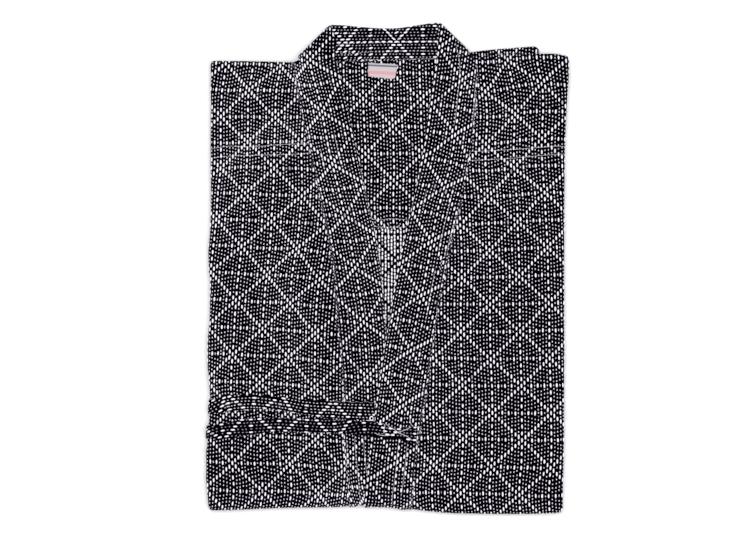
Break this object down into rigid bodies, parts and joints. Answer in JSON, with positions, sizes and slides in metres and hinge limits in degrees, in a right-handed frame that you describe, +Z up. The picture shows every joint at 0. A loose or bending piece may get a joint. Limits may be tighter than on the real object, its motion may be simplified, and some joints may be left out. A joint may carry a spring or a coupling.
{
  "type": "folded keikogi",
  "caption": "Navy and white diamond-weave cotton training jacket, face up and folded, with crossed quilted collar and two cloth ties.",
  "frame": {"origin": "middle of the folded jacket's box, on the surface that it lies on", "axes": "+X to the viewer's right, +Y up the garment towards its collar, +Z up from the surface"},
  "size_m": [0.5059, 0.684, 0.0294],
  "materials": {
    "cotton_folded": "navy cotton with white pattern floats, matt",
    "cotton_wrong_side": "wrong side of the weave, mostly white floats, matt",
    "cotton_lining": "navy cotton with white pattern floats, matt",
    "cotton_front_under": "navy cotton with white pattern floats, matt",
    "cotton_front_over": "navy cotton with white pattern floats, matt",
    "cotton_collar_under": "padded band of the same cloth, quilted in rows",
    "cotton_collar_over": "padded band of the same cloth, quilted in rows",
    "cotton_collar_back": "padded band of the same cloth, quilted in rows",
    "cotton_tie_under": "folded band of the same cloth",
    "cotton_tie_over": "folded band of the same cloth",
    "cotton_sleeve": "navy cotton with white pattern floats, matt",
    "label_tape": "woven tape with plain stripes, slightly glossy"
  },
  "bodies": {
    "root": {"folded_layers": "cotton_folded", "back_panel": "cotton_wrong_side", "shoulder_lining": "cotton_lining", "front_under": "cotton_front_under", "front_over": "cotton_front_over", "collar_under": "cotton_collar_under", "collar_over": "cotton_collar_over", "collar_back": "cotton_collar_back", "tie_under": "cotton_tie_under", "tie_over": "cotton_tie_over", "sleeve_fold": "cotton_sleeve", "size_label": "label_tape"}
  },
  "joints": []
}
